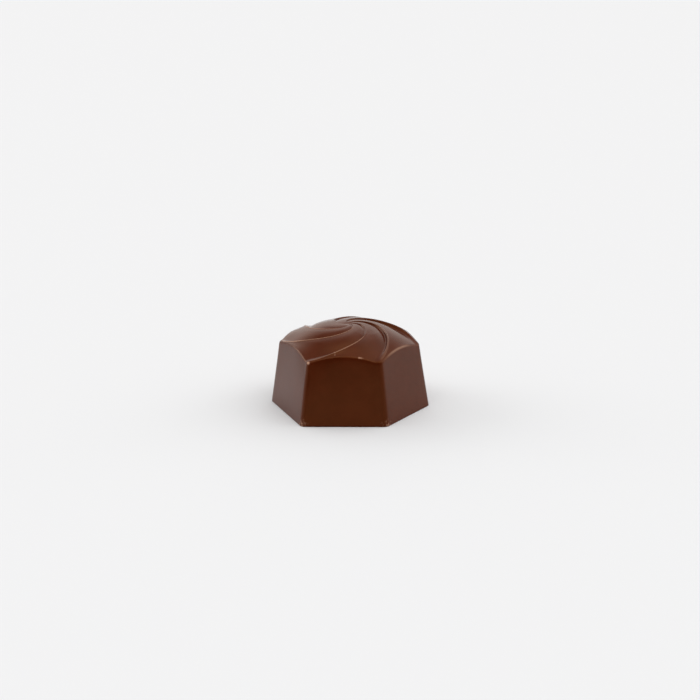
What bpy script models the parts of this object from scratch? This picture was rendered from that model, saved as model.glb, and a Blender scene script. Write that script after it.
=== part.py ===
"""A moulded chocolate praline: one solid piece.

A six-sided block with drafted flat sides stands on its flat base. A shallow
dome cuts the sides off in six arches, and six beaded blades wind over the dome
from the corners to a small eye in the middle. The feet of the front corners
stand a little off the regular outline. One flat side faces -Y, two corners
lie on the X axis, and the origin is the middle of the base.
"""

import math

import bmesh
import bpy

MM = 0.001

# Block, in millimetres
SIDES = 6
BASE_CORNER_RADIUS = 16.0
DRAFT = 0.155
UPRIGHT_EDGE_ROUNDING = 1.2
FOOT_CHAMFER = 0.25

# How far each front corner's foot stands off the regular six-sided outline
FOOT_SHIFTS = (
    ((-16.0, 0.0), (0.0, 1.1)),
    ((-8.0, -13.86), (-0.55, 0.0)),
    ((8.0, -13.86), (0.15, 0.4)),
    ((16.0, 0.0), (0.0, -0.7)),
)
FOOT_SHIFT_REACH = 16.0

# Dome, in millimetres
HEIGHT = 16.8
DOME_RADIUS = 24.9
RIM_ROUNDING = 0.3

# Swirl: six blades, each a convex slope from its beaded crest down to the next step
STEADY_TURN = math.radians(102.0)
TIGHTENING_TURN = math.radians(43.0)
TURN_LEAN = -0.31
TURN_EXTRA = 0.2
EXTRA_START = math.radians(120.0)
BLADE_RELIEF_SHARE = 0.082
BLADE_LIFT = 0.36
BLADE_CURVE = 3.4
STEP_SHARE = 0.068
CREST_ROUNDNESS = 2.0
BEAD_HEIGHT_SHARE = 0.013
BEAD_WIDTH = 0.036
RIM_FADE = 0.32
RIM_RELIEF = 0.25
EYE_RADIUS = 1.3
EYE_DEPTH = 0.25

# Fineness of the faceted surface
BLADE_COLUMNS = (
    0.0, 0.018, 0.037, 0.13, 0.26, 0.39, 0.52, 0.65, 0.76, 0.85, 0.90, 0.932, 0.948, 0.964, 0.982,
)
SIDE_ROWS = 3
RIM_ROWS = 3
DOME_RINGS = (0.93, 0.86, 0.79, 0.72, 0.65, 0.58, 0.51, 0.44, 0.37, 0.30, 0.235, 0.175, 0.125, 0.08, 0.04)

NAME = "praline"
CHOCOLATE = (0.075, 0.021, 0.010, 1.0)
ROUGHNESS = 0.3
SMOOTH_ANGLE = math.radians(32.0)

SECTOR = math.tau / SIDES


def smoothstep(value):
    """Ease from 0 to 1 as value goes from 0 to 1."""
    held = min(max(value, 0.0), 1.0)
    return held * held * (3.0 - 2.0 * held)


def outline_radius(angle, corner_radius):
    """Distance from the axis to a round-cornered regular outline, in one direction."""
    off_corner = abs((angle + SECTOR / 2) % SECTOR - SECTOR / 2)
    flat = math.cos(SECTOR / 2)
    centre = corner_radius - UPRIGHT_EDGE_ROUNDING / flat
    tangent = math.atan2(UPRIGHT_EDGE_ROUNDING * math.sin(SECTOR / 2), centre + UPRIGHT_EDGE_ROUNDING * flat)
    if off_corner > tangent:
        return corner_radius * flat / math.cos(SECTOR / 2 - off_corner)
    across = centre * math.sin(off_corner)
    return centre * math.cos(off_corner) + math.sqrt(UPRIGHT_EDGE_ROUNDING ** 2 - across ** 2)


def wall_radius(angle, height):
    """Distance from the axis to the drafted wall at a height."""
    return outline_radius(angle, BASE_CORNER_RADIUS - DRAFT * height)


def dome_height(radius):
    """Height of the plain dome at a distance from the axis."""
    return HEIGHT - DOME_RADIUS + math.sqrt(DOME_RADIUS ** 2 - radius ** 2)


def rim_height(angle):
    """Height at which the wall meets the dome, found by halving the gap."""
    low = 0.0
    high = HEIGHT
    for _ in range(40):
        middle = (low + high) / 2
        if dome_height(wall_radius(angle, middle)) > middle:
            low = middle
        else:
            high = middle
    return (low + high) / 2


def blade_relief(share, ring, radius):
    """Height of the swirl over the plain dome, below it where negative.

    share runs from 0 on a blade's crest to 1 on the next one, and ring from
    1 at the rim to 0 at the eye.
    """
    strength = RIM_RELIEF + (1.0 - RIM_RELIEF) * smoothstep((1.0 - ring) / RIM_FADE)
    foot = 1.0 - STEP_SHARE
    if share <= foot:
        fall = (share / foot) ** BLADE_CURVE
    else:
        fall = (1.0 - (share - foot) / STEP_SHARE) ** CREST_ROUNDNESS
    bead = BEAD_HEIGHT_SHARE * smoothstep(1.0 - min(share, 1.0 - share) / BEAD_WIDTH)
    return radius * strength * (BLADE_RELIEF_SHARE * (BLADE_LIFT - fall) + bead)


def turn(ring, start):
    """Angle that a line which left the rim in one direction has wound through."""
    inward = 1.0 - ring
    plain = STEADY_TURN * inward + TIGHTENING_TURN * inward ** 3
    extra = TURN_EXTRA * max(math.cos(start - EXTRA_START), 0.0) ** 4
    return plain * (1.0 + TURN_LEAN * ring * math.cos(start) + extra)


def eye_drop(radius):
    """Depth of the round dimple in the middle of the swirl."""
    return EYE_DEPTH * (1.0 - smoothstep(radius / EYE_RADIUS))


def column_angles():
    """Directions and blade shares of all the columns of points, once round."""
    return [
        (SECTOR * (sector + share), share)
        for sector in range(SIDES)
        for share in BLADE_COLUMNS
    ]


def polar(radius, angle, height):
    """A point in metres from millimetres round the axis, with the feet set off."""
    across = radius * math.cos(angle)
    along = radius * math.sin(angle)
    for (foot_x, foot_y), (shift_x, shift_y) in FOOT_SHIFTS:
        gap = math.sqrt((across - foot_x) ** 2 + (along - foot_y) ** 2 + height ** 2)
        weight = max(1.0 - gap / FOOT_SHIFT_REACH, 0.0)
        across += weight * shift_x
        along += weight * shift_y
    return (across * MM, along * MM, height * MM)


def rounded_rim(angle, share):
    """Radius and height of the points that round the wall over into the dome."""
    top = rim_height(angle)
    edge = (wall_radius(angle, top), top)
    below = top - RIM_ROUNDING
    start = (wall_radius(angle, below), below)
    inner = edge[0] - RIM_ROUNDING
    end = (inner, dome_height(inner))
    points = []
    for step in range(RIM_ROWS + 1):
        along = step / RIM_ROWS
        weights = ((1 - along) ** 2, 2 * along * (1 - along), along ** 2)
        radius, height = (
            sum(weight * point[axis] for weight, point in zip(weights, (start, edge, end)))
            for axis in (0, 1)
        )
        points.append((radius, height + along * blade_relief(share, 1.0, radius)))
    return points


def column_points(angle, share):
    """Points of one column, from the base's edge up the wall and in to the eye."""
    rim = rounded_rim(angle, share)
    points = [polar(wall_radius(angle, 0.0) - FOOT_CHAMFER, angle, 0.0)]
    for row in range(SIDE_ROWS):
        height = FOOT_CHAMFER + (rim[0][1] - FOOT_CHAMFER) * row / SIDE_ROWS
        points.append(polar(wall_radius(angle, height), angle, height))
    points.extend(polar(radius, angle, height) for radius, height in rim)
    inner_edge = rim[-1][0]
    for ring in DOME_RINGS:
        roundness = 1.0 - ring ** 2
        round_radius = BASE_CORNER_RADIUS - DRAFT * HEIGHT
        radius = ring * (inner_edge + (round_radius - inner_edge) * roundness)
        height = dome_height(radius) + blade_relief(share, ring, radius) - eye_drop(radius)
        points.append(polar(radius, angle + turn(ring, angle), height))
    return points


def praline_mesh():
    """The whole outer surface as one closed mesh."""
    bm = bmesh.new()
    columns = [
        [bm.verts.new(point) for point in column_points(angle, share)]
        for angle, share in column_angles()
    ]
    eye = bm.verts.new(polar(0.0, 0.0, HEIGHT - EYE_DEPTH))
    for index, column in enumerate(columns):
        following = columns[(index + 1) % len(columns)]
        for row in range(len(column) - 1):
            bm.faces.new((column[row], following[row], following[row + 1], column[row + 1]))
        bm.faces.new((column[-1], following[-1], eye))
    bm.faces.new([column[0] for column in reversed(columns)])
    bmesh.ops.recalc_face_normals(bm, faces=bm.faces)
    mesh = bpy.data.meshes.new(NAME)
    bm.to_mesh(mesh)
    bm.free()
    return mesh


def chocolate():
    """Glossy milk-dark chocolate."""
    material = bpy.data.materials.new("chocolate")
    material.use_nodes = True
    shader = material.node_tree.nodes["Principled BSDF"]
    shader.inputs["Base Color"].default_value = CHOCOLATE
    shader.inputs["Roughness"].default_value = ROUGHNESS
    shader.inputs["Metallic"].default_value = 0.0
    return material


def build():
    """Make the praline as one named object."""
    for leftover in list(bpy.data.objects):
        bpy.data.objects.remove(leftover)
    mesh = praline_mesh()
    mesh.shade_smooth()
    mesh.set_sharp_from_angle(angle=SMOOTH_ANGLE)
    mesh.materials.append(chocolate())
    praline = bpy.data.objects.new(NAME, mesh)
    bpy.context.scene.collection.objects.link(praline)


build()
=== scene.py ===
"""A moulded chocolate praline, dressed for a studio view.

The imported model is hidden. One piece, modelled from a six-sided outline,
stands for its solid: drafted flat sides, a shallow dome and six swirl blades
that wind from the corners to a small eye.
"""

import logging
import math
from collections.abc import Callable
from dataclasses import dataclass, field
from enum import Enum
from functools import cache

import bmesh
import bpy
from mathutils import Matrix, Vector


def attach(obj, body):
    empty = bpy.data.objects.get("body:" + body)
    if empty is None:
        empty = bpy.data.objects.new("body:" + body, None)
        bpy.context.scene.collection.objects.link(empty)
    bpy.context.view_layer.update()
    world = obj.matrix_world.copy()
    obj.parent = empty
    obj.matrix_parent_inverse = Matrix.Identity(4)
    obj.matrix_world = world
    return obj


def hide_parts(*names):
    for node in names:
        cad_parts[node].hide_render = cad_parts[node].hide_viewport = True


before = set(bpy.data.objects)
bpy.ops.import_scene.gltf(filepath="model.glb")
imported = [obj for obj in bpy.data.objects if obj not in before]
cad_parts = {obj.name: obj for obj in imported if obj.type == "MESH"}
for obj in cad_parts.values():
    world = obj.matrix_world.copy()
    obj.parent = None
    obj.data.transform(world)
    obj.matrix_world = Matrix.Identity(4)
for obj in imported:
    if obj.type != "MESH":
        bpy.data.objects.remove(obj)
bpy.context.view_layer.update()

MM = 0.001
NODE = "praline"
# Mesh attribute that carries the painted highlights along blade crests and a stretch of rim
CREST_HIGHLIGHT_MARK = "crest"
AXIS = (0.0, 0.0, 0.0)
HALVINGS = 40

# Kinds of node socket, and the places of the colour sockets on a Mix node
VECTOR = "NodeSocketVector"
NUMBER = "NodeSocketFloat"
COLOR = "NodeSocketColor"
MIX_UNDER = 6
MIX_OVER = 7
MIX_RESULT = 2

# Fine handling marks against broad ones, and fine grain against the skin's waves
FINER_MARKS = 9.0
GRAIN_SHARE = 0.12

log = logging.getLogger("praline_scene")


class Fade(Enum):
    """How a value eases over a range, with the name that proportional editing has for it."""

    STRAIGHT = "LINEAR"
    SOFT = "SMOOTH"


def ease(value: float, fade: Fade = Fade.SOFT) -> float:
    """Ease from 0 to 1 as value goes from 0 to 1.

    Args:
        value: Position along the range; outside it the end values hold.
        fade: Straight line or soft ends.

    Returns:
        A number from 0 to 1.
    """
    held = min(max(value, 0.0), 1.0)
    if fade is Fade.STRAIGHT:
        return held
    return held * held * (3.0 - 2.0 * held)


def deselect_objects() -> None:
    """Leave no object selected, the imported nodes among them."""
    bpy.ops.object.select_all(action="DESELECT")


def make_active(thing: bpy.types.Object) -> None:
    """Select one object alone and make it the active one."""
    deselect_objects()
    thing.select_set(True)
    bpy.context.view_layer.objects.active = thing


@dataclass(frozen=True)
class PralineForm:
    """Sizes of the moulded block, its dome and its swirl, in metres and radians."""

    sides: int = 6
    base_corner_radius: float = 16.0 * MM
    draft: float = 0.155
    upright_rounding: float = 1.2 * MM
    height: float = 16.8 * MM
    dome_radius: float = 24.9 * MM
    rim_rounding: float = 0.3 * MM
    foot_rounding: float = 0.18 * MM
    steady_turn: float = math.radians(102.0)
    tightening_turn: float = math.radians(43.0)
    turn_lean: float = -0.31
    turn_extra: float = 0.2
    extra_start: float = math.radians(120.0)
    blade_relief_share: float = 0.082
    blade_lift: float = 0.36
    blade_curve: float = 3.4
    step_share: float = 0.068
    crest_roundness: float = 2.0
    bead_height_share: float = 0.013
    bead_width: float = 0.036
    rim_fade: float = 0.32
    rim_relief: float = 0.25
    eye_radius: float = 1.3 * MM
    eye_depth: float = 0.25 * MM

    @property
    def sector(self) -> float:
        """Angle from one corner to the next."""
        return math.tau / self.sides

    def wall_scale(self, height: float) -> float:
        """Size of the outline at a height, as a share of the base's."""
        return 1.0 - self.draft * height / self.base_corner_radius

    def dome_height(self, radius: float) -> float:
        """Height of the plain dome at a distance from the axis."""
        fall = self.dome_radius - math.sqrt(self.dome_radius ** 2 - radius ** 2)
        return self.height - fall

    def rim_height(self, base_radius: float) -> float:
        """Height at which the dome cuts the drafted wall.

        Args:
            base_radius: Distance from the axis to the wall at the base.

        Returns:
            The height, found by halving the gap.
        """
        low, high = 0.0, self.height
        for _ in range(HALVINGS):
            middle = (low + high) / 2
            if self.dome_height(base_radius * self.wall_scale(middle)) > middle:
                low = middle
            else:
                high = middle
        return (low + high) / 2

    def blade_relief(self, share: float, ring: float, radius: float) -> float:
        """Height of the swirl over the plain dome, below it where negative.

        Args:
            share: Place across a blade, 0 on its ridge and 1 on the next one.
            ring: Place along a blade, 1 at the rim and 0 at the eye.
            radius: Distance from the axis.

        Returns:
            The height in metres.
        """
        strength = self.rim_relief + (1.0 - self.rim_relief) * ease((1.0 - ring) / self.rim_fade)
        foot = 1.0 - self.step_share
        if share <= foot:
            fall = (share / foot) ** self.blade_curve
        else:
            fall = (1.0 - ease((share - foot) / self.step_share, Fade.STRAIGHT)) ** self.crest_roundness
        bead = ease(1.0 - min(share, 1.0 - share) / self.bead_width)
        relief = self.blade_relief_share * (self.blade_lift - fall) + self.bead_height_share * bead
        return radius * strength * relief

    def eye_drop(self, radius: float) -> float:
        """Depth of the round dimple in the middle."""
        return self.eye_depth * (1.0 - ease(radius / self.eye_radius))

    def turn(self, ring: float, start: float) -> float:
        """Angle that the swirl has wound through at a ring.

        Args:
            ring: Place along a blade, 1 at the rim and 0 at the eye.
            start: Direction in which the line left the rim.

        Returns:
            The angle; it's a little wider on one side than on the other.
        """
        inward = 1.0 - ring
        plain = self.steady_turn * inward + self.tightening_turn * inward ** 3
        extra = self.turn_extra * max(math.cos(start - self.extra_start), 0.0) ** 4
        return plain * (1.0 + self.turn_lean * ring * math.cos(start) + extra)


@dataclass(frozen=True)
class Nudge:
    """A soft push on the surface, in millimetres, that fades out over its reach."""

    place: tuple[float, float, float]
    push: tuple[float, float, float]
    reach: float
    fade: Fade = Fade.STRAIGHT


@dataclass(frozen=True)
class Softening:
    """A place, in millimetres, round which the surface wore smooth."""

    place: tuple[float, float, float]
    reach: float


@dataclass(frozen=True)
class PaintedCrestHighlight:
    """A painted highlight along a blade's crest, from the rim to an inner ring.

    It leaves the rim in the direction start, in degrees, and is fainter again
    outside the ring where faint_from stands.
    """

    start: float
    strength: float
    inner: float
    faint_from: float = 1.0
    inner_fade: float = 0.1
    rim_fade: float = 0.04
    faint_fade: float = 0.03
    faint_loss: float = 0.6

    def highlight_strength(self, ring: float) -> float:
        """How strongly the crest's highlight is painted at a ring, from 0 to 1."""
        along = ease((ring - self.inner) / self.inner_fade) * ease((1.0 - ring) / self.rim_fade)
        faint = 1.0 - self.faint_loss * ease((ring - self.faint_from) / self.faint_fade)
        return self.strength * along * faint


@dataclass(frozen=True)
class PaintedRimHighlight:
    """A painted highlight along a stretch of the rim, between two directions in degrees."""

    first: float
    last: float
    strength: float
    end_fade: float = 1.0 / 3.0
    middle: float = 0.55
    half_width: float = 0.5
    side_fade: float = 0.3125

    def highlight_strength(self, direction: float, along: float) -> float:
        """How strongly the rim's highlight is painted at a place on its rounding.

        Args:
            direction: Direction from the axis, in degrees.
            along: 0 where the wall ends and 1 where the dome begins.

        Returns:
            A number from 0 to 1.
        """
        place = (direction - self.first) / (self.last - self.first)
        ends = ease(min(place, 1.0 - place) / self.end_fade)
        across = ease((self.half_width - abs(along - self.middle)) / self.side_fade)
        return self.strength * ends * across


@dataclass(frozen=True)
class Column:
    """One of the lines of points that run up the wall and in to the eye."""

    number: int
    share: float
    base_radius: float


@dataclass
class PralineBody:
    """The praline itself, modelled ring by ring from its base outline."""

    form: PralineForm = field(default_factory=PralineForm)
    name: str = "praline_body"

    # Outline, with extra points where each blade steps down to the next
    corner_segments: int = 4
    side_cuts: int = 9
    step_cuts: int = 2
    step_reach: float = 1.6
    same_share: float = 0.001
    share_digits: int = 4

    # Rows up the foot, as inset and height in foot roundings, and up the wall in millimetres
    foot_inset: float = 2.0
    foot_rows: tuple[tuple[float, float], ...] = ((0.6, 0.0), (0.0, 0.5), (0.0, 1.6))
    wall_heights: tuple[float, ...] = (0.45, 1.6, 4.2, 7.2, 10.0)

    # Rows over the rim, the first one sunk under it, and rings of the dome in to the eye
    rim_sink: float = 2.0
    rim_steps: int = 4
    rings: tuple[float, ...] = (
        0.955, 0.91, 0.865, 0.82, 0.77, 0.72, 0.665, 0.61, 0.555, 0.50, 0.445,
        0.39, 0.335, 0.28, 0.23, 0.185, 0.145, 0.11, 0.08, 0.05, 0.025,
    )

    # Feet, shoulders and crests that stand a little off the regular form
    settled: tuple[Nudge, ...] = (
        Nudge((-16.0, 0.0, 0.0), (0.0, 1.1, 0.0), 16.0),
        Nudge((-8.0, -13.86, 0.0), (-0.55, 0.0, 0.0), 16.0),
        Nudge((8.0, -13.86, 0.0), (0.15, 0.4, 0.0), 16.0),
        Nudge((16.0, 0.0, 0.0), (0.0, -0.7, 0.0), 16.0),
        Nudge((-6.95, -12.0, 12.5), (0.0, 0.0, -0.15), 6.0, Fade.SOFT),
        Nudge((-12.2, 3.1, 13.3), (0.0, 0.0, 0.45), 4.5, Fade.SOFT),
        Nudge((-8.4, 8.8, 13.84), (0.0, 0.0, -0.4), 5.0, Fade.SOFT),
        Nudge((-4.5, 7.5, 15.4), (0.0, 0.0, -0.25), 6.0, Fade.SOFT),
        Nudge((11.5, 3.5, 13.9), (0.0, 0.0, 0.25), 5.0, Fade.SOFT),
    )
    fine_levels: int = 2

    # Wear: places worn smooth; and painted highlights along crests and a stretch of rim
    softened: tuple[Softening, ...] = (
        Softening((3.65, -2.6, 16.5), 2.3),
        Softening((-8.7, 8.0, 14.0), 3.0),
    )
    softening_passes: int = 90
    softening_strength: float = 0.5
    # Painted highlights along four blade crests
    crest_highlights: tuple[PaintedCrestHighlight, ...] = (
        PaintedCrestHighlight(180.0, 1.0, 0.1), PaintedCrestHighlight(-120.0, 0.85, 0.47, 0.83),
        PaintedCrestHighlight(-60.0, 0.25, 0.3), PaintedCrestHighlight(120.0, 1.0, 0.2),
    )
    crest_core: float = 0.625
    crest_zone: float = 0.4
    # Painted highlight along the rim of one face
    rim_highlights: tuple[PaintedRimHighlight, ...] = (PaintedRimHighlight(-57.0, -9.0, 0.6),)
    underside_slope: float = 0.95

    def build(self) -> bpy.types.Object:
        """Model the piece and return its object."""
        body = self._outline()
        columns = self._mark_columns(body)
        self._raise_wall(body, columns)
        self._lay_dome(body, columns)
        self._close_eye(body)
        for nudge in self.settled:
            self._push(body, nudge)
        self._refine(body)
        for softening in self.softened:
            self._soften(body, softening)
        return body

    def dress(
        self, body: bpy.types.Object, skin: bpy.types.Material, underside: bpy.types.Material
    ) -> None:
        """Give the piece its finishes.

        Args:
            body: The finished piece.
            skin: Finish of all that the mould shaped.
            underside: Finish of the faces that look straight down.
        """
        body.data.materials.append(skin)
        body.data.materials.append(underside)
        for face in body.data.polygons:
            if face.normal.z < -self.underside_slope:
                face.material_index = 1

    def _outline(self) -> bpy.types.Object:
        """Add the base outline: a six-sided face with rounded corners."""
        deselect_objects()
        bpy.ops.mesh.primitive_circle_add(
            vertices=self.form.sides,
            radius=self.form.base_corner_radius,
            fill_type="NGON",
            rotation=(0.0, 0.0, self.form.sector / 2),
        )
        body = bpy.context.active_object
        body.name = self.name
        body.data.name = self.name
        bpy.ops.object.transform_apply(location=False, rotation=True, scale=False)
        bpy.ops.object.mode_set(mode="EDIT")
        bpy.ops.mesh.select_mode(type="VERT")
        bpy.ops.mesh.select_all(action="SELECT")
        bpy.ops.mesh.bevel(
            offset=self.form.upright_rounding * math.tan(self.form.sector / 2),
            segments=self.corner_segments,
            profile=0.5,
            affect="VERTICES",
        )
        long_edge = self.form.base_corner_radius / 2
        self._select_edges(body, lambda edge: edge.calc_length() > long_edge)
        bpy.ops.mesh.subdivide(number_cuts=self.side_cuts)
        step = 1.0 - self.form.step_share / 2
        reach = self.step_reach * self.form.step_share
        corner_edge = long_edge / (self.side_cuts + 3)
        self._select_edges(body, lambda edge: edge.calc_length() > corner_edge and all(
            abs(self._share(point) - step) < reach for point in edge.verts
        ))
        bpy.ops.mesh.subdivide(number_cuts=self.step_cuts)
        return body

    def _share(self, point: bmesh.types.BMVert) -> float:
        """Place of a point of the outline across its blade, from 0 to 1."""
        share = self._share_of(math.atan2(point.co.y, point.co.x))
        return round(share, self.share_digits) % 1.0

    def _share_of(self, start: float) -> float:
        """Place across its blade of a line that leaves the rim in a direction."""
        return (start / self.form.sector) % 1.0

    @staticmethod
    def _select_edges(
        body: bpy.types.Object, wanted: Callable[[bmesh.types.BMEdge], bool]
    ) -> None:
        """Select the edges that a test picks, and nothing else."""
        bpy.ops.mesh.select_mode(type="EDGE")
        bpy.ops.mesh.select_all(action="DESELECT")
        mesh = bmesh.from_edit_mesh(body.data)
        for edge in mesh.edges:
            edge.select_set(wanted(edge))
        bmesh.update_edit_mesh(body.data)

    def _mark_columns(self, body: bpy.types.Object) -> list[Column]:
        """Number the outline's points, so that every ring made from them keeps the numbers.

        Args:
            body: The outline, in edit mode.

        Returns:
            One column for each place across a blade.
        """
        mesh = bmesh.from_edit_mesh(body.data)
        number = mesh.verts.layers.int.new("column")
        start = mesh.verts.layers.float.new("start")
        # Layer for the painted highlights on crests and rim
        mesh.verts.layers.float.new(CREST_HIGHLIGHT_MARK)
        places: list[tuple[float, float]] = []
        for point in mesh.verts:
            share = self._share(point)
            if all(abs(share - known) > self.same_share for known, _ in places):
                places.append((share, point.co.xy.length))
        places.sort()
        for point in mesh.verts:
            share = self._share(point)
            gaps = [abs(share - known) for known, _ in places]
            point[number] = gaps.index(min(gaps))
            point[start] = math.atan2(point.co.y, point.co.x)
        bmesh.update_edit_mesh(body.data)
        return [Column(index, share, radius) for index, (share, radius) in enumerate(places)]

    def _shape_ring(
        self,
        body: bpy.types.Object,
        columns: list[Column],
        radius_of: Callable[[Column], float],
        height_of: Callable[[Column, float], float],
    ) -> None:
        """Move the selected ring, one group of six like points at a time.

        Args:
            body: The object in edit mode, with the ring's points selected.
            columns: The columns that the ring's points belong to.
            radius_of: Distance from the axis for a column.
            height_of: Height for a column at that distance.
        """
        mesh = bmesh.from_edit_mesh(body.data)
        mesh.verts.index_update()
        number = mesh.verts.layers.int["column"]
        groups: dict[int, set[int]] = {column.number: set() for column in columns}
        for point in mesh.verts:
            if point.select:
                groups[point[number]].add(point.index)
        for column in columns:
            sample = self._select_points(body, groups[column.number])
            radius = radius_of(column)
            spread = radius / sample.xy.length
            lift = height_of(column, radius) - sample.z
            bpy.ops.transform.resize(value=(spread, spread, 1.0), center_override=AXIS)
            bpy.ops.transform.translate(value=(0.0, 0.0, lift))
        self._select_points(body, set().union(*groups.values()))

    @staticmethod
    def _select_points(body: bpy.types.Object, members: set[int]) -> Vector:
        """Select the points with these numbers, and nothing else.

        Args:
            body: The object in edit mode.
            members: Index of each wanted point.

        Returns:
            The place of one of them.
        """
        bpy.ops.mesh.select_mode(type="VERT")
        mesh = bmesh.from_edit_mesh(body.data)
        place = Vector()
        for point in mesh.verts:
            wanted = point.index in members
            point.select_set(wanted)
            if wanted:
                place = point.co.copy()
        mesh.select_flush_mode()
        bmesh.update_edit_mesh(body.data)
        return place

    def _raise_wall(self, body: bpy.types.Object, columns: list[Column]) -> None:
        """Extrude the foot and the drafted wall up to just under the rim."""
        form = self.form
        foot = form.foot_rounding
        inset = 1.0 - self.foot_inset * foot / form.base_corner_radius
        bpy.ops.mesh.select_all(action="SELECT")
        bpy.ops.transform.resize(value=(inset, inset, 1.0), center_override=AXIS)
        rows = [(narrower * foot, height * foot) for narrower, height in self.foot_rows]
        rows += [(0.0, height * MM) for height in self.wall_heights]
        for narrower, height in rows:
            bpy.ops.mesh.extrude_region_move()
            self._shape_ring(
                body,
                columns,
                lambda column: column.base_radius * form.wall_scale(height) - narrower,
                lambda column, radius: height,
            )

    def _rim_point(self, column: Column, along: float) -> tuple[float, float]:
        """Radius and height of a point on the rounding between wall and dome.

        Args:
            column: The column that the point belongs to.
            along: 0 where the wall ends and 1 where the dome begins.

        Returns:
            Distance from the axis, and height.
        """
        form = self.form
        top = form.rim_height(column.base_radius)
        edge = column.base_radius * form.wall_scale(top)
        below = top - form.rim_rounding
        inner = edge - form.rim_rounding
        ends = (
            (column.base_radius * form.wall_scale(below), below),
            (edge, top),
            (inner, form.dome_height(inner)),
        )
        weights = ((1.0 - along) ** 2, 2.0 * along * (1.0 - along), along ** 2)
        radius = sum(weight * point[0] for weight, point in zip(weights, ends))
        height = sum(weight * point[1] for weight, point in zip(weights, ends))
        return radius, height + form.blade_relief(column.share, 1.0, radius)

    def _lay_dome(self, body: bpy.types.Object, columns: list[Column]) -> None:
        """Extrude the rim's rounding, then ring after ring of the turning dome."""
        form = self.form
        for step in range(-1, self.rim_steps + 1):
            along = max(step, 0) / self.rim_steps
            sink = self.rim_sink * form.rim_rounding if step < 0 else 0.0
            bpy.ops.mesh.extrude_region_move()
            self._shape_ring(
                body,
                columns,
                lambda column: self._rim_point(column, along)[0] + sink * form.draft,
                lambda column, radius: self._rim_point(column, along)[1] - sink,
            )
            self._mark_rim_highlight(body, along)
        for ring, before in zip(self.rings, (1.0, *self.rings)):
            bpy.ops.mesh.extrude_region_move()
            self._turn_ring(body, ring, before)
            self._shape_ring(
                body,
                columns,
                lambda column: self._ring_radius(column, ring),
                lambda column, radius: self._ring_height(column, ring, radius),
            )

    def _turn_ring(self, body: bpy.types.Object, ring: float, before: float) -> None:
        """Turn the selected ring on from where the ring before it stands.

        Args:
            body: The object in edit mode, with the ring's points selected.
            ring: Place of the ring along the blades.
            before: Place of the ring that it was extruded from.
        """
        mesh = bmesh.from_edit_mesh(body.data)
        mesh.verts.index_update()
        start = mesh.verts.layers.float["start"]
        groups: dict[float, set[int]] = {}
        for point in mesh.verts:
            if point.select:
                groups.setdefault(round(point[start], 3), set()).add(point.index)
        for direction, members in groups.items():
            step = self.form.turn(ring, direction) - self.form.turn(before, direction)
            self._select_points(body, members)
            bpy.ops.transform.rotate(value=-step, orient_axis="Z", center_override=AXIS)
        self._select_points(body, set().union(*groups.values()))
        self._mark_crest_highlight(body, ring)

    def _mark_rim_highlight(self, body: bpy.types.Object, along: float) -> None:
        """Note how strongly the painted highlight lies on the selected row of the rim's rounding.

        Args:
            body: The object in edit mode, with the row's points selected.
            along: 0 where the wall ends and 1 where the dome begins.
        """
        mesh = bmesh.from_edit_mesh(body.data)
        start = mesh.verts.layers.float["start"]
        crest = mesh.verts.layers.float[CREST_HIGHLIGHT_MARK]
        for point in mesh.verts:
            if not point.select:
                continue
            for rim in self.rim_highlights:
                point[crest] = rim.highlight_strength(math.degrees(point[start]), along)
        bmesh.update_edit_mesh(body.data)

    def _mark_crest_highlight(self, body: bpy.types.Object, ring: float) -> None:
        """Note how strongly the selected ring's points carry the painted highlight of a blade crest.

        Args:
            body: The object in edit mode, with the ring's points selected.
            ring: Place of the ring along the blades.
        """
        mesh = bmesh.from_edit_mesh(body.data)
        start = mesh.verts.layers.float["start"]
        crest = mesh.verts.layers.float[CREST_HIGHLIGHT_MARK]
        for point in mesh.verts:
            if not point.select:
                continue
            point[crest] = 0.0
            share = self._share_of(point[start])
            off_crest = min(share, 1.0 - share) / self.form.bead_width
            across = ease((1.0 - off_crest) / self.crest_core)
            for highlight_and_crumb_paint in self.crest_highlights:
                gap = math.remainder(point[start] - math.radians(highlight_and_crumb_paint.start), math.tau)
                if abs(gap) < self.crest_zone * self.form.sector:
                    point[crest] = across * highlight_and_crumb_paint.highlight_strength(ring)
        bmesh.update_edit_mesh(body.data)

    def _ring_radius(self, column: Column, ring: float) -> float:
        """Distance from the axis of a column at a ring, rounder towards the eye."""
        inner_edge = self._rim_point(column, 1.0)[0]
        round_radius = self.form.base_corner_radius * self.form.wall_scale(self.form.height)
        return ring * (inner_edge + (round_radius - inner_edge) * (1.0 - ring ** 2))

    def _ring_height(self, column: Column, ring: float, radius: float) -> float:
        """Height of the swirled dome on a column at a ring."""
        form = self.form
        relief = form.blade_relief(column.share, ring, radius) - form.eye_drop(radius)
        return form.dome_height(radius) + relief

    @staticmethod
    def _close_eye(body: bpy.types.Object) -> None:
        """Draw the last ring together in one point and leave edit mode."""
        bpy.ops.mesh.merge(type="CENTER")
        bpy.ops.mesh.select_all(action="SELECT")
        bpy.ops.mesh.normals_make_consistent(inside=False)
        bpy.ops.object.mode_set(mode="OBJECT")
        log.info("%s: cage of %d points", body.name, len(body.data.vertices))

    def _refine(self, body: bpy.types.Object) -> None:
        """Subdivide the cage and shade it smooth."""
        make_active(body)
        fine = body.modifiers.new("fine", "SUBSURF")
        fine.levels = self.fine_levels
        fine.render_levels = self.fine_levels
        bpy.ops.object.modifier_apply(modifier=fine.name)
        bpy.ops.object.shade_smooth()

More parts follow.
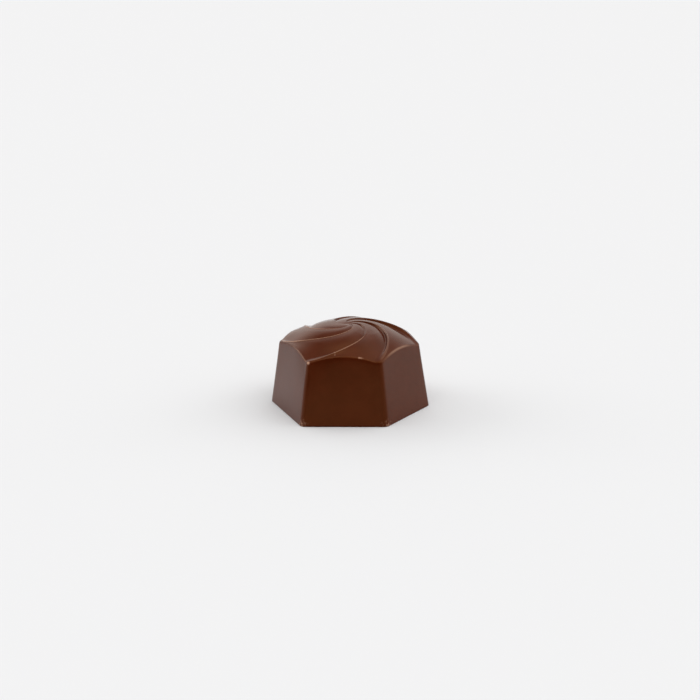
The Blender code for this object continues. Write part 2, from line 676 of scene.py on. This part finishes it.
    def _push(self, body: bpy.types.Object, nudge: Nudge) -> None:
        """Push the point nearest to a place, and softly what lies round it."""
        make_active(body)
        bpy.ops.object.mode_set(mode="EDIT")
        mesh = bmesh.from_edit_mesh(body.data)
        mesh.verts.index_update()
        place = Vector(nudge.place) * MM
        nearest = min(mesh.verts, key=lambda point: (point.co - place).length)
        self._select_points(body, {nearest.index})
        bpy.ops.transform.translate(
            value=Vector(nudge.push) * MM,
            use_proportional_edit=True,
            proportional_edit_falloff=nudge.fade.value,
            proportional_size=nudge.reach * MM,
        )
        bpy.ops.object.mode_set(mode="OBJECT")

    def _soften(self, body: bpy.types.Object, softening: Softening) -> None:
        """Smooth the surface round a place, as where a crest wore off."""
        make_active(body)
        bpy.ops.object.mode_set(mode="EDIT")
        mesh = bmesh.from_edit_mesh(body.data)
        mesh.verts.index_update()
        place = Vector(softening.place) * MM
        reach = softening.reach * MM
        near = {point.index for point in mesh.verts if (point.co - place).length < reach}
        self._select_points(body, near)
        bpy.ops.mesh.vertices_smooth(
            factor=self.softening_strength, repeat=self.softening_passes
        )
        bpy.ops.object.mode_set(mode="OBJECT")


class Nodes:
    """A tree of shader nodes under construction, with short ways to add to it."""

    def __init__(self, tree: bpy.types.NodeTree) -> None:
        """Take the tree to add to."""
        self.tree = tree

    def feed(self, socket: bpy.types.NodeSocket, value: object) -> None:
        """Link an input to a socket, or set it to a number, vector or colour."""
        if isinstance(value, bpy.types.NodeSocket):
            self.tree.links.new(value, socket)
        elif socket.type == "RGBA":
            socket.default_value = (*value, 1.0)
        else:
            socket.default_value = value

    def add(
        self, kind: str, inputs: dict[str | int, object], **settings: object
    ) -> bpy.types.bpy_prop_collection:
        """Add a node.

        Args:
            kind: Blender's name for the kind of node.
            inputs: Socket, number, vector or colour for each input's name or number.
            **settings: Value for each of the node's properties.

        Returns:
            The node's outputs.
        """
        node = self.tree.nodes.new(kind)
        for name, value in settings.items():
            setattr(node, name, value)
        for name, value in inputs.items():
            self.feed(node.inputs[name], value)
        return node.outputs

    def use(self, group: bpy.types.NodeTree, inputs: dict[str, object]) -> bpy.types.NodeSocket:
        """Add a group, feed its inputs and return its one output."""
        return self.add("ShaderNodeGroup", inputs, node_tree=group)[0]

    def calculate(self, operation: str, first: object, second: object) -> bpy.types.NodeSocket:
        """Work out a sum, such as ADD or MULTIPLY, of two sockets or numbers."""
        return self.add("ShaderNodeMath", {0: first, 1: second}, operation=operation)["Value"]

    def spread(self, inputs: dict[str, object], fade: Fade = Fade.SOFT) -> bpy.types.NodeSocket:
        """Map one range of values to another, as the inputs of a Map Range node say."""
        kind = "SMOOTHSTEP" if fade is Fade.SOFT else "LINEAR"
        return self.add("ShaderNodeMapRange", inputs, interpolation_type=kind)["Result"]

    def blend(self, mask: object, under: object, over: object) -> bpy.types.NodeSocket:
        """Lay a colour over another where a mask says so, and return the result."""
        inputs = {"Factor": mask, MIX_UNDER: under, MIX_OVER: over}
        return self.add("ShaderNodeMix", inputs, data_type="RGBA")[MIX_RESULT]


class NodeGroup(Nodes):
    """A node group under construction, with one output."""

    def __init__(self, name: str, inputs: dict[str, str], output: str, kind: str) -> None:
        """Start the group.

        Args:
            name: Name of the group.
            inputs: Socket type for each input's name.
            output: Name of the output.
            kind: Socket type of the output.
        """
        super().__init__(bpy.data.node_groups.new(name, "ShaderNodeTree"))
        sockets = self.tree.interface
        for title, socket_type in inputs.items():
            sockets.new_socket(name=title, in_out="INPUT", socket_type=socket_type)
        sockets.new_socket(name=output, in_out="OUTPUT", socket_type=kind)
        self.source = self.tree.nodes.new("NodeGroupInput").outputs
        self.target = self.tree.nodes.new("NodeGroupOutput").inputs

    def noise(self, scale: object, detail: float, roughness: float = 0.5) -> bpy.types.NodeSocket:
        """Add a noise over the group's Place input.

        Args:
            scale: Socket or number for the fineness.
            detail: Number of finer layers.
            roughness: Strength of the finer layers.

        Returns:
            The socket with the noise, about 0.5 on average.
        """
        inputs = {
            "Vector": self.source["Place"], "Scale": scale, "Detail": detail, "Roughness": roughness,
        }
        return self.add("ShaderNodeTexNoise", inputs)["Fac"]

    def finish(self, result: bpy.types.NodeSocket) -> bpy.types.NodeTree:
        """Link the group's output and return the group."""
        self.feed(self.target[0], result)
        return self.tree


@cache
def tone_group() -> bpy.types.NodeTree:
    """Build the group for a colour that drifts gently between two tones."""
    group = NodeGroup(
        "cocoa_tone",
        {"Place": VECTOR, "Scale": NUMBER, "Dark": COLOR, "Light": COLOR},
        "Color",
        COLOR,
    )
    cloud = group.noise(group.source["Scale"], detail=4.0, roughness=0.6)
    drift = group.spread({"Value": cloud, "From Min": 0.3, "From Max": 0.7})
    return group.finish(group.blend(drift, group.source["Dark"], group.source["Light"]))


@cache
def gloss_group() -> bpy.types.NodeTree:
    """Build the group for a roughness with faint handling marks."""
    group = NodeGroup(
        "handling_marks",
        {"Place": VECTOR, "Scale": NUMBER, "Smooth": NUMBER, "Worn": NUMBER},
        "Roughness",
        NUMBER,
    )
    finer = group.calculate("MULTIPLY", group.source["Scale"], FINER_MARKS)
    broad_marks = group.noise(group.source["Scale"], detail=3.0)
    fine_marks = group.noise(finer, detail=5.0, roughness=0.65)
    marks = {
        "Value": group.calculate("MULTIPLY", broad_marks, fine_marks),
        "From Min": 0.15,
        "From Max": 0.42,
        "To Min": group.source["Smooth"],
        "To Max": group.source["Worn"],
    }
    return group.finish(group.spread(marks, Fade.STRAIGHT))


@cache
def skin_group() -> bpy.types.NodeTree:
    """Build the group for the faint unevenness of a moulded skin."""
    group = NodeGroup(
        "moulded_skin", {"Place": VECTOR, "Broad": NUMBER, "Fine": NUMBER}, "Height", NUMBER
    )
    waves = group.noise(group.source["Broad"], detail=1.0)
    grain = group.noise(group.source["Fine"], detail=4.0, roughness=0.6)
    fine_grain = group.calculate("MULTIPLY", grain, GRAIN_SHARE)
    return group.finish(group.calculate("ADD", waves, fine_grain))


@cache
def glint_and_crumb_spot_group() -> bpy.types.NodeTree:
    """Build the group for one soft round spot at a place: the mask of a painted glint, and of the patch
    where a foot is crumbly.
    """
    group = NodeGroup(
        "glint_and_crumb_spot_mask",
        {"Place": VECTOR, "Centre": VECTOR, "Size": NUMBER, "Strength": NUMBER},
        "Mask",
        NUMBER,
    )
    ends = {0: group.source["Place"], 1: group.source["Centre"]}
    fade = {
        "Value": group.add("ShaderNodeVectorMath", ends, operation="DISTANCE")["Value"],
        "From Max": group.source["Size"],
        "To Min": group.source["Strength"],
        "To Max": 0.0,
    }
    return group.finish(group.spread(fade))


@cache
def crumb_group() -> bpy.types.NodeTree:
    """Build the group for pale crumbs, as on the rubbed foot of a corner."""
    group = NodeGroup(
        "foot_crumbs",
        {"Place": VECTOR, "Near": NUMBER, "Scale": NUMBER, "Amount": NUMBER},
        "Mask",
        NUMBER,
    )
    near = group.source["Near"]
    speck = group.noise(group.source["Scale"], detail=6.0, roughness=0.7)
    raised = group.calculate("ADD", speck, group.calculate("MULTIPLY", near, group.source["Amount"]))
    crumb = group.spread({"Value": raised, "From Min": 0.62, "From Max": 0.8})
    return group.finish(group.calculate("MULTIPLY", crumb, near))


@cache
def glow_group() -> bpy.types.NodeTree:
    """Build the group for one soft patch of light, seen in a direction."""
    group = NodeGroup(
        "soft_glow", {"Toward": VECTOR, "Edge": NUMBER, "Strength": NUMBER}, "Light", NUMBER
    )
    view = group.add("ShaderNodeTexCoord", {})["Generated"]
    ends = {0: view, 1: group.source["Toward"]}
    fall = {
        "Value": group.add("ShaderNodeVectorMath", ends, operation="DOT_PRODUCT")["Value"],
        "From Min": group.source["Edge"],
        "To Max": group.source["Strength"],
    }
    return group.finish(group.spread(fall))


class Surface(Nodes):
    """A material under construction round its shader."""

    def __init__(self, name: str) -> None:
        """Start the material and take its nodes."""
        self.material = bpy.data.materials.new(name)
        self.material.use_nodes = True
        super().__init__(self.material.node_tree)
        self.shader = self.tree.nodes["Principled BSDF"]

    def place(self) -> bpy.types.NodeSocket:
        """Add the place on the object, which patterns are laid over."""
        return self.add("ShaderNodeTexCoord", {})["Object"]

    def bump(
        self, height: bpy.types.NodeSocket, depth: float, strength: float = 1.0
    ) -> bpy.types.NodeSocket:
        """Turn a height into a normal, with its depth in metres."""
        inputs = {"Height": height, "Distance": depth, "Strength": strength}
        return self.add("ShaderNodeBump", inputs)["Normal"]

    def finish(self, inputs: dict[str, object]) -> bpy.types.Material:
        """Feed the shader's inputs and return the material."""
        for name, value in inputs.items():
            self.feed(self.shader.inputs[name], value)
        return self.material


@dataclass(frozen=True)
class GlintAndCrumbSpot:
    """A round spot on the chocolate, for a painted glint and for the patch of a crumbly foot: place and
    size in millimetres.
    """

    place: tuple[float, float, float]
    size: float
    strength: float

    def mask(self, surface: Surface, place: bpy.types.NodeSocket) -> bpy.types.NodeSocket:
        """Add the spot's mask to a surface.

        Args:
            surface: The surface that the spot lies on.
            place: Socket with the place on the object.

        Returns:
            The socket with the mask.
        """
        centre = Vector(self.place) * MM
        return surface.use(glint_and_crumb_spot_group(), {
            "Place": place, "Centre": centre, "Size": self.size * MM, "Strength": self.strength,
        })


@dataclass(frozen=True)
class ChocolateFinish:
    """Glossy moulded chocolate, with painted highlights on crests and rim, painted glints, and crumbly
    at two feet.
    """

    name: str = "moulded_chocolate"
    dark: tuple[float, float, float] = (0.063, 0.0102, 0.0025)
    light: tuple[float, float, float] = (0.075, 0.0124, 0.0034)
    tone_scale: float = 220.0
    # Pale colour of the painted highlights on crests and rim, which the crumbs at two feet share
    highlight_and_crumb_paint: tuple[float, float, float] = (0.30, 0.17, 0.12)
    # Colour of the painted glints
    pale: tuple[float, float, float] = (0.80, 0.50, 0.36)
    smooth: float = 0.14
    worn: float = 0.24
    mark_scale: float = 160.0
    ior: float = 1.55
    tint: tuple[float, float, float] = (0.5, 0.25, 0.1)
    skin_broad: float = 260.0
    skin_fine: float = 2600.0
    skin_depth: float = 0.02 * MM
    skin_strength: float = 0.6
    # Painted glints where the rim, a corner and a crest catch the light: place, size and strength
    painted_glints: tuple[GlintAndCrumbSpot, ...] = (
        GlintAndCrumbSpot((2.8, -11.95, 13.75), 0.40, 0.9),
        GlintAndCrumbSpot((3.15, -11.95, 13.75), 0.44, 1.0),
        GlintAndCrumbSpot((3.5, -11.95, 13.7), 0.38, 0.7),
        GlintAndCrumbSpot((-7.1, -12.0, 12.5), 0.48, 0.75),
        GlintAndCrumbSpot((-1.95, -11.1, 14.35), 0.26, 0.22),
        GlintAndCrumbSpot((-1.95, -11.5, 14.05), 0.26, 0.22),
    )
    crumbly_feet: tuple[GlintAndCrumbSpot, ...] = (
        GlintAndCrumbSpot((-8.6, -13.8, 0.2), 2.8, 1.0),
        GlintAndCrumbSpot((8.3, -13.4, 0.2), 2.8, 1.0),
    )
    crumb_scale: float = 1700.0
    crumb_amount: float = 0.20

    def material(self) -> bpy.types.Material:
        """Build the material and return it."""
        surface = Surface(self.name)
        place = surface.place()
        gloss = surface.use(gloss_group(), {
            "Place": place, "Scale": self.mark_scale, "Smooth": self.smooth, "Worn": self.worn,
        })
        skin = surface.use(skin_group(), {
            "Place": place, "Broad": self.skin_broad, "Fine": self.skin_fine,
        })
        return surface.finish({
            "Base Color": self._color(surface, place),
            "Roughness": gloss,
            "IOR": self.ior,
            "Specular Tint": self.tint,
            "Normal": surface.bump(skin, self.skin_depth, self.skin_strength),
        })

    def _color(self, surface: Surface, place: bpy.types.NodeSocket) -> bpy.types.NodeSocket:
        """Lay the painted highlights on crests and rim, the painted glints and the crumbs over the
        chocolate's own tone.

        Args:
            surface: The surface under construction.
            place: Socket with the place on the object.

        Returns:
            The socket with the colour.
        """
        tone = surface.use(tone_group(), {
            "Place": place, "Scale": self.tone_scale, "Dark": self.dark, "Light": self.light,
        })
        # Painted highlights along crests and rim, read from the mesh attribute
        painted_highlight_mask = surface.add("ShaderNodeAttribute", {}, attribute_name=CREST_HIGHLIGHT_MARK)["Fac"]
        color = surface.blend(painted_highlight_mask, tone, self.highlight_and_crumb_paint)
        # Painted glints
        for glint_spot in self.painted_glints:
            color = surface.blend(glint_spot.mask(surface, place), color, self.pale)
        for foot in self.crumbly_feet:
            crumbs = surface.use(crumb_group(), {
                "Place": place,
                "Near": foot.mask(surface, place),
                "Scale": self.crumb_scale,
                "Amount": self.crumb_amount,
            })
            color = surface.blend(crumbs, color, self.highlight_and_crumb_paint)
        return color


@dataclass(frozen=True)
class UndersideFinish:
    """Scraped matt chocolate, as the flat base that was levelled off in the mould."""

    name: str = "scraped_chocolate"
    dark: tuple[float, float, float] = (0.070, 0.020, 0.009)
    light: tuple[float, float, float] = (0.105, 0.038, 0.020)
    tone_scale: float = 900.0
    roughness: float = 0.55
    streaks: tuple[float, float, float] = (0.25, 1.6, 1.0)
    skin_broad: float = 700.0
    skin_fine: float = 3000.0
    skin_depth: float = 0.08 * MM

    def material(self) -> bpy.types.Material:
        """Build the material and return it."""
        surface = Surface(self.name)
        stretched = {"Vector": surface.place(), "Scale": self.streaks}
        place = surface.add("ShaderNodeMapping", stretched)["Vector"]
        tone = surface.use(tone_group(), {
            "Place": place, "Scale": self.tone_scale, "Dark": self.dark, "Light": self.light,
        })
        skin = surface.use(skin_group(), {
            "Place": place, "Broad": self.skin_broad, "Fine": self.skin_fine,
        })
        return surface.finish({
            "Base Color": tone,
            "Roughness": self.roughness,
            "Normal": surface.bump(skin, self.skin_depth),
        })


@dataclass(frozen=True)
class FloorFinish:
    """Matt pale paper floor."""

    name: str = "pale_floor"
    color: tuple[float, float, float] = (0.755, 0.81, 0.868)
    roughness: float = 0.9
    specular: float = 0.2

    def material(self) -> bpy.types.Material:
        """Build the material and return it."""
        return Surface(self.name).finish({
            "Base Color": self.color,
            "Roughness": self.roughness,
            "Specular IOR Level": self.specular,
        })


@dataclass(frozen=True)
class Glow:
    """A soft patch of light in the room, placed round the camera's side, in degrees."""

    azimuth: float
    elevation: float
    strength: float
    reach: float = 42.0


@dataclass
class Studio:
    """Pale floor, soft light and the camera, in metres and radians."""

    floor_half: float = 1.2
    floor_front: float = -0.13
    camera_azimuth: float = math.radians(4.06)
    camera_pitch: float = math.radians(18.35)
    camera_roll: float = math.radians(-0.83)
    camera_distance: float = 376.14 * MM
    camera_side: float = 0.18 * MM
    camera_height: float = 135.98 * MM
    lens: float = 102.86
    sensor: float = 36.0
    seen_from: float = 0.01
    seen_to: float = 10.0
    backdrop: tuple[float, float, float] = (0.86, 0.865, 0.875)
    lamp: tuple[float, float, float] = (1.05, 0.98, 0.92)
    glows: tuple[Glow, ...] = (
        Glow(90, 5, 0.43), Glow(180, 5, 0.78), Glow(225, 5, 0.47), Glow(270, 5, 1.0),
        Glow(60, 38, 0.48), Glow(120, 38, 0.63), Glow(0, 68, 1.3), Glow(0, 90, 0.23),
        Glow(80, 58, 0.9), Glow(280, 58, 0.55), Glow(150, 14, 0.12, 26.0),
        Glow(165, 34, 0.28, 26.0), Glow(195, 34, 0.4, 26.0), Glow(225, 32, 0.87, 26.0),
        Glow(180, 56, 0.5, 26.0), Glow(110, 20, 1.02, 26.0), Glow(250, 20, 2.0, 26.0),
    )

    def build(self) -> None:
        """Set up the whole studio."""
        self._camera()
        self._floor()
        self._light()
        bpy.context.scene.view_settings.view_transform = "Standard"
        log.info("studio: %d soft patches of light", len(self.glows))

    def _floor(self) -> None:
        """Lay the floor."""
        deselect_objects()
        bpy.ops.mesh.primitive_plane_add(size=2.0)
        floor = bpy.context.active_object
        floor.name = "floor"
        bpy.ops.object.mode_set(mode="EDIT")
        bpy.ops.mesh.select_all(action="SELECT")
        depth = (self.floor_half - self.floor_front) / 2
        bpy.ops.transform.resize(value=(self.floor_half, depth, 1.0))
        bpy.ops.transform.translate(value=(0.0, self.floor_front + depth, 0.0))
        bpy.ops.object.mode_set(mode="OBJECT")
        floor.data.materials.append(FloorFinish().material())

    def _camera(self) -> None:
        """Stand the camera in front, a little above the praline and to one side."""
        turned = Matrix.Rotation(self.camera_azimuth, 3, "Z")
        place = turned @ Vector((self.camera_side, -self.camera_distance, self.camera_height))
        ahead = Vector((0.0, math.cos(self.camera_pitch), -math.sin(self.camera_pitch)))
        level = Vector((1.0, 0.0, 0.0))
        upward = level.cross(ahead)
        right = math.cos(self.camera_roll) * level + math.sin(self.camera_roll) * upward
        up = right.cross(ahead)
        facing = Matrix((right, up, -ahead)).transposed()
        data = bpy.data.cameras.new("camera")
        data.lens = self.lens
        data.sensor_width = self.sensor
        data.clip_start = self.seen_from
        data.clip_end = self.seen_to
        camera = bpy.data.objects.new("camera", data)
        camera.matrix_world = Matrix.Translation(place) @ (turned @ facing).to_4x4()
        bpy.context.scene.collection.objects.link(camera)
        bpy.context.scene.camera = camera

    def _heading(self, glow: Glow) -> Vector:
        """Direction from the praline to a patch of light, azimuth 0 being towards the camera."""
        around = math.radians(glow.azimuth) + self.camera_azimuth
        up = math.radians(glow.elevation)
        return Vector((
            math.sin(around) * math.cos(up), -math.cos(around) * math.cos(up), math.sin(up),
        ))

    def _light(self) -> None:
        """Give the room its soft light: bright above, beside and behind, dark in front."""
        world = bpy.data.worlds.new("studio")
        bpy.context.scene.world = world
        world.use_nodes = True
        world.node_tree.nodes.clear()
        room = Nodes(world.node_tree)
        total: object = 0.0
        for glow in self.glows:
            patch = room.use(glow_group(), {
                "Toward": self._heading(glow),
                "Edge": math.cos(math.radians(glow.reach)),
                "Strength": glow.strength,
            })
            total = room.calculate("ADD", total, patch)
        lit = room.add("ShaderNodeBackground", {"Color": self.lamp, "Strength": total})
        seen = room.add("ShaderNodeBackground", {"Color": self.backdrop})
        path = room.add("ShaderNodeLightPath", {})
        inputs = {"Fac": path["Is Camera Ray"], 1: lit["Background"], 2: seen["Background"]}
        mixed = room.add("ShaderNodeMixShader", inputs)
        room.add("ShaderNodeOutputWorld", {"Surface": mixed["Shader"]})


def main() -> None:
    """Build the praline, dress it and set up the studio."""
    logging.basicConfig(level=logging.INFO, format="%(name)s: %(message)s")
    praline = PralineBody()
    body = praline.build()
    praline.dress(body, ChocolateFinish().material(), UndersideFinish().material())
    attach(body, "root")
    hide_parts(NODE)
    log.info("%s: %d faces", body.name, len(body.data.polygons))
    Studio().build()


if __name__ == "__main__":
    main()
